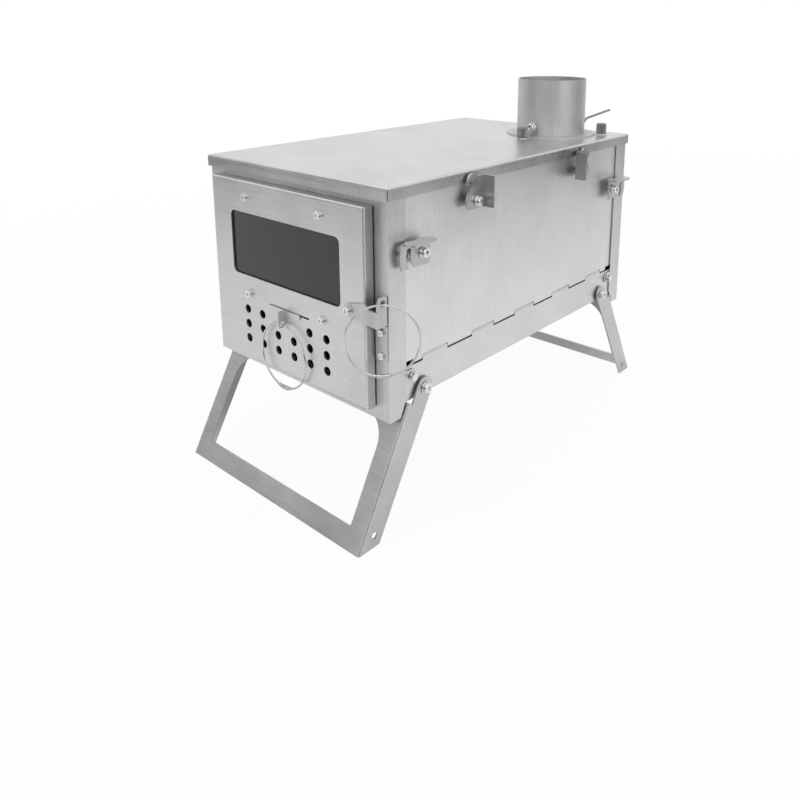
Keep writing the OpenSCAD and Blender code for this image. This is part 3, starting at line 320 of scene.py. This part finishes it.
# %% [markdown]
# ## Socket screws
# A turned head with a chamfered rim and a hexagon socket, on a plain washer
# and, on the latches, a spring washer too. A circle is extruded up and in to
# make the head, its last ring is squared up to a hexagon, and that is extruded
# down to sink the socket. A washer is a small profile spun round, and the
# spring washer stops just short of a full turn, which leaves its slit open.
# A cylinder with a hexagon cut out of it would do too, but extruding keeps
# the faces even, so the chamfers catch the light cleanly.

# %% Screw builder
HEAD_SEGMENTS, SHANK_SEGMENTS, WASHER_STEPS = 36, 24, 32
SEAT_EDGE = 0.1 * MM
# The rest are shares of a piece's own radius or height.
SEAT_RADIUS, HEAD_CHAMFER, SOCKET_DEPTH = 0.97, 0.16, 0.62
WASHER_EDGE = 0.25
TIP_RADIUS, TIP_HEIGHT = 0.7, 0.4
NUT_FOOT_RADIUS, NUT_FOOT_HEIGHT = 0.92, 0.15


def ring_edges(verts):
    """The edges that run from one of these points to another."""
    found = set(verts)
    return list({edge for vert in verts for edge in vert.link_edges
                 if edge.other_vert(vert) in found})


def rise(bm, edges, dz, scale=1.0):
    """Extrudes a ring of edges upwards, wider or narrower, and returns the new ring."""
    made = bmesh.ops.extrude_edge_only(bm, edges=edges)["geom"]
    verts = [item for item in made if isinstance(item, bmesh.types.BMVert)]
    for vert in verts:
        vert.co = Vector((vert.co.x * scale, vert.co.y * scale, vert.co.z + dz))
    return ring_edges(verts)


def turned_column(bm, steps, segments):
    """A closed column about Z from (radius, height) steps. Returns its top ring, left open."""
    radius, height = steps[0]
    base = bmesh.ops.create_circle(bm, cap_ends=False, radius=radius, segments=segments)["verts"]
    bmesh.ops.translate(bm, verts=base, vec=(0, 0, height))
    edges = ring_edges(base)
    bmesh.ops.contextual_create(bm, geom=base)
    for next_radius, next_height in steps[1:]:
        edges = rise(bm, edges, next_height - height, next_radius / radius)
        radius, height = next_radius, next_height
    return edges


def cap(bm, edges):
    """Closes a ring of edges with one face."""
    bmesh.ops.contextual_create(bm, geom=list({vert for edge in edges for vert in edge.verts}))


def square_up(edges, socket):
    """Moves a round ring onto a hexagon with its corners at the radius socket."""
    for vert in {vert for edge in edges for vert in edge.verts}:
        lean = atan2(vert.co.y, vert.co.x) % (tau / 6) - tau / 12
        share = socket * cos(tau / 12) / cos(lean) / Vector((vert.co.x, vert.co.y)).length
        vert.co.x *= share
        vert.co.y *= share


def socket_head(bm, seat, height, radius, socket):
    """A chamfered head on z = seat with a hexagon socket in its top."""
    chamfer = height * HEAD_CHAMFER
    rim = turned_column(bm, [(radius * SEAT_RADIUS, seat), (radius, seat + SEAT_EDGE),
                             (radius, seat + height - chamfer), (radius - chamfer, seat + height)],
                        HEAD_SEGMENTS)
    mouth = rise(bm, rim, 0, socket / (radius - chamfer))
    square_up(mouth, socket)
    cap(bm, rise(bm, mouth, -height * SOCKET_DEPTH))


def washer(bm, seat, height, radius, bore, slit=0.0):
    """A flat washer with softened edges, or a spring washer with an open slit of that angle."""
    soft = height * WASHER_EDGE
    top = seat + height
    profile = [(bore, seat), (radius - soft, seat), (radius, seat + soft), (radius, top - soft),
               (radius - soft, top), (bore, top)]
    verts = [bm.verts.new((r, 0, z)) for r, z in profile]
    edges = [bm.edges.new(pair) for pair in zip(verts, verts[1:] + verts[:1])]
    turned = bmesh.ops.spin(bm, geom=verts + edges, cent=(0, 0, 0), axis=(0, 0, 1),
                            angle=tau - slit, steps=WASHER_STEPS, use_merge=not slit)
    if slit:
        last = [item for item in turned["geom_last"] if isinstance(item, bmesh.types.BMVert)]
        bmesh.ops.contextual_create(bm, geom=verts)
        bmesh.ops.contextual_create(bm, geom=last)


def shank(bm, length, radius, shoulder=None):
    """A shank below z = 0 with a chamfered tip, and a shoulder (radius, height) if given."""
    steps = [(radius * TIP_RADIUS, -length), (radius, -length + radius * TIP_HEIGHT)]
    if shoulder:
        wide, deep = shoulder
        steps += [(radius, -deep), (wide, -deep), (wide, 0)]
    else:
        steps.append((radius, 0))
    cap(bm, turned_column(bm, steps, SHANK_SEGMENTS))


def set_down(bm, first, point, axis):
    """Turns what was made since vertex number first from +Z towards axis, and moves it to point."""
    bm.verts.ensure_lookup_table()
    turn = Vector((0, 0, 1)).rotation_difference(Vector(axis)).to_matrix().to_4x4()
    verts = bm.verts[first:]
    bmesh.ops.transform(bm, matrix=Matrix.Translation(point) @ turn, verts=verts)


def hexagon_nut(bm, low, height, radius):
    """A six-sided nut above z = low, with its lower edge drawn in."""
    foot = [(radius * NUT_FOOT_RADIUS, low), (radius, low + height * NUT_FOOT_HEIGHT)]
    cap(bm, turned_column(bm, foot + [(radius, low + height)], 6))


# %% [markdown]
# ## Screws in their places
# The real screws are a few sizes used many times, so a set takes its places
# and lengths from a CAD node and only its head, washers and nut from the call.
# Screws along X point away from the stove's middle, so one call serves both
# sides. Where two washers lie on each other, the second has a wider bore, and
# their edges stay apart.

# %% Screws of the window, latches, catch, damper and legs
SOCKET_SHARE = 0.5
BORE_PLAY, BORE_STEP = 0.05, 0.1
SPRING_SLIT = radians(16)


def screw_set(name, node, body, axis, head, washers, shank_r, shown=1.0, nut=None, shoulder=None):
    """One piece with a screw for each solid of node. Pairs are (radius, height) in mm."""
    bm = bmesh.new()
    along = [i for i in range(3) if axis[i]][0]
    for low, high in solids_of(node):
        middle = (low + high) / 2
        way = Vector(axis)
        if along == 0 and middle.x < 0:
            way = -way
        length = high[along] - low[along]
        print(name, "screw of", round(length / MM, 2), "mm at", [round(c / MM, 1) for c in middle])
        seat = middle + way * (length / 2 - head[1] * MM)
        first, thick = len(bm.verts), 0.0
        for number, (radius, height) in enumerate(washers):
            bore = (shank_r + BORE_PLAY + BORE_STEP * number) * MM
            washer(bm, thick, height * MM, radius * MM, bore, SPRING_SLIT * number)
            thick += height * MM
        socket_head(bm, thick, head[1] * MM * shown, head[0] * MM, head[0] * SOCKET_SHARE * MM)
        tip = length - head[1] * MM
        shank(bm, tip, shank_r * MM, shoulder and [value * MM for value in shoulder])
        if nut:
            hexagon_nut(bm, -tip, nut[1] * MM, nut[0] * MM)
        set_down(bm, first, seat, way)
    new_piece(name, bm, body, node, screw_metal)


TO_THE_FRONT, TO_THE_SIDE = (0, -1, 0), (1, 0, 0)
DOOR_HEAD, DOOR_WASHER = (3.1, 2.3), (3.6, 0.5)
SMALL_NUT, SMALL_SHANK = (3.0, 1.8), 1.5

screw_set("window_socket_screws", "window_screws", "door", TO_THE_FRONT, DOOR_HEAD,
          [DOOR_WASHER], SMALL_SHANK)
screw_set("door_latch_socket_screw", "door_latch_screw", "door", TO_THE_FRONT, DOOR_HEAD,
          [DOOR_WASHER], SMALL_SHANK, nut=SMALL_NUT)
screw_set("catch_socket_screws", "door_catch_screws", "stove", TO_THE_FRONT, (2.64, 1.61), [],
          SMALL_SHANK, nut=SMALL_NUT)
screw_set("latch_socket_screws", "latch_screws", "stove", TO_THE_SIDE, (3.6, 2.4),
          [(4.3, 0.6), (3.7, 0.9)], 1.95)
screw_set("leg_socket_bolts", "leg_bolts", "stove", TO_THE_SIDE, (4.0, 2.5), [(4.6, 0.6)], 1.9,
          shoulder=(2.95, 1.8))
screw_set("damper_socket_screw", "damper_end_screw", "damper", TO_THE_FRONT, (3.9, 4.2),
          [(4.7, 0.8)], 1.25, shown=0.81)

# %% [markdown]
# ## Knurled thumb nuts
# Three tall nuts hold the flue collar down, and fingers turn them, so their
# sides are knurled. A real knurl is pressed in by a wheel as fine ridges,
# here 36 of them: every second point of a 72-sided column is pulled in. A
# bump texture would leave the nut's outline smooth, so the ridges are shape.

# %% Thumb nuts
KNURL_SIDES = 72
KNURL_SHARE = 0.93
NUT_EDGE = 0.7 * MM
DISH_DEPTH = 0.5 * MM
DISH_RIM, DISH_FLOOR = 0.6, 0.55


def pull_in_every_second(verts, low, high, share):
    for vert in verts:
        step = round(atan2(vert.co.y, vert.co.x) / (tau / KNURL_SIDES))
        if step % 2 and low < vert.co.z < high:
            vert.co.x *= share
            vert.co.y *= share


bm = bmesh.new()
for low, high in solids_of("flue_thumb_nuts"):
    first = len(bm.verts)
    radius, height = (high.y - low.y) / 2, high.z - low.z
    side = [(radius - NUT_EDGE, 0), (radius, NUT_EDGE), (radius, height - NUT_EDGE)]
    face = [(radius - NUT_EDGE, height), (radius * DISH_RIM, height),
            (radius * DISH_FLOOR, height - DISH_DEPTH)]
    cap(bm, turned_column(bm, side + face, KNURL_SIDES))
    bm.verts.ensure_lookup_table()
    pull_in_every_second(bm.verts[first:], NUT_EDGE / 2, height - NUT_EDGE / 2, KNURL_SHARE)
    set_down(bm, first, Vector(((low.x + high.x) / 2, (low.y + high.y) / 2, low.z)), (0, 0, 1))
new_piece("knurled_thumb_nuts", bm, "stove", "flue_thumb_nuts", nut_metal,
          radians(12))

# %% [markdown]
# ## Ring barrels
# Each wire ring closes in a little barrel that screws onto both wire ends.
# It is made straight, with a collar at each end and a knurled middle, because
# steps and ridges are easy to place along a line. Then every point is moved
# onto the ring's curve.

# %% Barrels of the two rings
RING_R = 25.4 * MM
WIRE_R = 0.75 * MM
BARREL_HALF_ANGLE = radians(15)
BARREL_SIDES = 24
BARREL_R = 1.55
KNURL_START, KNURL_STEP, KNURL_RINGS = -0.6, 0.1, 12


def ring_barrel(name, node, body, top, turn):
    """top is the middle of the wire at the ring's highest point, and turn its angle about Z."""
    low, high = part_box(node)
    half = RING_R * BARREL_HALF_ANGLE
    bm = bmesh.new()
    # Each step is a radius in mm and a place from -1 to 1 along the barrel.
    steps = [(0.8, -1.0), (1.25, -0.97), (1.25, -0.8), (0.95, -0.74), (0.95, -0.66),
             (BARREL_R, KNURL_START)]
    knurl = [(BARREL_R, KNURL_START + KNURL_STEP * i) for i in range(1, KNURL_RINGS + 1)]
    mirrored = [(radius, -place) for radius, place in reversed(steps[:-1])]
    column = [(radius * MM, place * half) for radius, place in steps + knurl + mirrored]
    cap(bm, turned_column(bm, column, BARREL_SIDES))
    for vert in bm.verts:
        if Vector((vert.co.x, vert.co.y)).length > BARREL_R * MM * 0.99:
            around = round(atan2(vert.co.y, vert.co.x) / (tau / BARREL_SIDES))
            if (around + round(vert.co.z / half / KNURL_STEP)) % 2:
                vert.co.x *= KNURL_SHARE
                vert.co.y *= KNURL_SHARE
    for vert in bm.verts:
        angle, reach = vert.co.z / RING_R, RING_R + vert.co.x
        vert.co = Vector((reach * sin(angle), vert.co.y, -RING_R - reach * cos(angle)))
    bmesh.ops.transform(bm, matrix=Matrix.Translation(top) @ Matrix.Rotation(turn, 4, "Z"),
                        verts=bm.verts)
    piece = new_piece(name, bm, body, node, wire_metal, radians(25))
    off = [round((a - b) / MM, 2) for a, b in zip(piece.bound_box[0], low)]
    print(name, "is off its solid by", off, "mm")


low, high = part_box("air_ring")
ring_barrel("air_ring_barrel_knurled", "air_ring_barrel", "air_ring",
            Vector(((low.x + high.x) / 2, (low.y + high.y) / 2, high.z - WIRE_R)), 0)
low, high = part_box("door_ring")
ring_barrel("door_ring_barrel_knurled", "door_ring_barrel", "door_ring",
            Vector(((low.x + high.x) / 2, (low.y + high.y) / 2, high.z - WIRE_R)), radians(45))

# %% [markdown]
# ## Light, floor and camera
# A catalogue picture of bare metal is made with white all round and a few
# dark cards, because a sheet shows only what it mirrors. The world is white
# to the camera and to mirrors, and the floor is pale and keeps a soft shadow.
# Dark cards stand at the left, at the right and by the camera: the door, the
# lid's edge and the corner beside the door mirror them as darker tones.
# Mirrors also see a painted shadow on the floor below the stove.

# %% World
def plain_sight(tree, rays):
    """1 for the rays that see straight, in a mirror or through glass, and otherwise 0."""
    direct = add(tree, "Math", links={0: (rays, "Is Camera Ray"), 1: (rays, "Is Glossy Ray")},
                 operation="MAXIMUM")
    return add(tree, "Math", links={0: (direct, 0), 1: (rays, "Is Transmission Ray")},
               operation="MAXIMUM")


world = bpy.context.scene.world or bpy.data.worlds.new("studio")
bpy.context.scene.world = world
world.use_nodes = True
sky = world.node_tree
sky.nodes.clear()
seen = plain_sight(sky, add(sky, "LightPath"))
ambient = add(sky, "Background", {"Color": rgb("#FFFFFF"), "Strength": 0.75})
backdrop = add(sky, "Background", {"Color": rgb("#FFFFFF"), "Strength": 1.0})
mixed = add(sky, "MixShader", links={"Fac": (seen, 0), 1: (ambient, 0), 2: (backdrop, 0)})
add(sky, "OutputWorld", links={"Surface": (mixed, 0)})


# %% Floor and cards
def stage_plane(name, size, point, facing, material):
    bm = bmesh.new()
    bmesh.ops.create_grid(bm, x_segments=1, y_segments=1, size=0.5)
    bmesh.ops.scale(bm, verts=bm.verts, vec=(size[0], size[1], 1))
    turn = Vector(facing).to_track_quat("Z", "Y").to_matrix().to_4x4()
    bmesh.ops.transform(bm, matrix=Matrix.Translation(point) @ turn, verts=bm.verts)
    mesh = bpy.data.meshes.new(name)
    bm.to_mesh(mesh)
    bm.free()
    plane = bpy.data.objects.new(name, mesh)
    bpy.context.scene.collection.objects.link(plane)
    mesh.materials.append(material)
    return plane


def pale_floor():
    """Paper that keeps a soft shadow: near white to the camera, and with a painted shadow below the
    stove that only mirrors see.
    """
    material, tree = new_material("pale_paper_floor")
    place = add(tree, "TexCoord")
    oval = add(tree, "Mapping", {"Scale": (1.0, 0.6, 1.0)}, {"Vector": (place, "Object")})
    far = add(tree, "VectorMath", links={0: (oval, 0)}, operation="LENGTH")
    pale = add(tree, "MapRange", {"From Min": 0.1, "From Max": 1.2, "To Min": 0.95, "To Max": 1.0},
               {"Value": (far, "Value")})
    # Painted shadow: to mirrors the floor's glow falls to 0.3 below the stove and is full again
    # 0.19 m out.
    mirrored = add(tree, "MapRange",
                   {"From Min": 0.08, "From Max": 0.19, "To Min": 0.3, "To Max": 1.0},
                   {"Value": (far, "Value")})
    rays = add(tree, "LightPath")
    seen = plain_sight(tree, rays)
    light = add(tree, "Mix", {"A": 1.0},
                {"Factor": (rays, "Is Glossy Ray"), "B": (mirrored, "Result")}, data_type="FLOAT")
    share = add(tree, "Math", links={0: (seen, 0), 1: (pale, "Result")}, operation="MULTIPLY")
    paper = add(tree, "BsdfDiffuse", {"Color": rgb("#E9E9E9")})
    glow = add(tree, "Emission", {"Color": rgb("#FFFFFF")}, {"Strength": (light, 0)})
    mixed = add(tree, "MixShader", links={"Fac": (share, 0), 1: (paper, 0), 2: (glow, 0)})
    finish_with(tree, mixed)
    return material


def dark_card():
    material, tree = new_material("dark_card")
    card = add(tree, "BsdfDiffuse", {"Color": rgb("#303030")})
    finish_with(tree, card)
    return material


stage_plane("studio_floor", (12, 12), (0, 0, -0.0002), (0, 0, 1), pale_floor())
card_material = dark_card()
CARDS = {
    "card_left_low": ((1.5, 0.2), (-0.8, -1.0, 0.1), (0.67, 0.74, 0)),
    "card_left_high": ((0.9, 0.5), (-0.85, -1.05, 0.75), (0.67, 0.74, 0)),
    "card_camera": ((0.8, 0.22), (0.44, -0.51, 0.11), (-0.7, 0.7, 0)),
    "card_right": ((1.2, 0.24), (0.74, 0.9, 0.12), (-1, -0.1, 0)),
}
for name, (size, point, facing) in CARDS.items():
    card = stage_plane(name, size, point, facing, card_material)
    card.visible_camera = False
    card.visible_shadow = False
print("staged a floor and", len(CARDS), "cards")


# %% Lamps
def soft_lamp(name, size, point, target, power):
    lamp = bpy.data.lights.new(name, "AREA")
    lamp.shape = "RECTANGLE"
    lamp.size, lamp.size_y = size
    lamp.energy = power
    piece = bpy.data.objects.new(name, lamp)
    piece.location = point
    piece.rotation_euler = (Vector(point) - Vector(target)).to_track_quat("Z", "Y").to_euler()
    bpy.context.scene.collection.objects.link(piece)
    print(name, power, "W")


MIDDLE = (0, 0, 0.15)
soft_lamp("overhead_box", (2.4, 2.4), (-0.3, 0.1, 1.9), MIDDLE, 7)
soft_lamp("right_box", (1.4, 1.6), (1.6, -0.5, 1.0), MIDDLE, 4)

# %% [markdown]
# The camera looks from 41 degrees right of the front and 13 degrees up. It was
# worked out from where the stove's parallel edges meet in the picture. The
# exact answer has a larger lens shift, which would cut the stove's top off in
# other views, so this one trades some of the shift for a steeper tilt.

# %% Camera
AZIMUTH, PITCH = radians(41.25), radians(13.03)
FOCAL_PX, PICTURE_PX, SENSOR_MM = 759.98, 800, 36
camera_data = bpy.data.cameras.new("camera")
camera = bpy.data.objects.new("camera", camera_data)
bpy.context.scene.collection.objects.link(camera)
bpy.context.scene.camera = camera
camera.location = (0.43105, -0.50316, 0.35378)
back = Vector((sin(AZIMUTH) * cos(PITCH), -cos(AZIMUTH) * cos(PITCH), sin(PITCH)))
camera.rotation_euler = back.to_track_quat("Z", "Y").to_euler()
camera_data.sensor_width = SENSOR_MM
camera_data.lens = FOCAL_PX / PICTURE_PX * SENSOR_MM
camera_data.shift_x, camera_data.shift_y = -0.034, -0.25
camera_data.clip_start = 0.01
print("camera at", [round(c, 3) for c in camera.location], "lens", round(camera_data.lens, 2), "mm")

# %% Plain colour view
bpy.context.scene.view_settings.view_transform = "Standard"
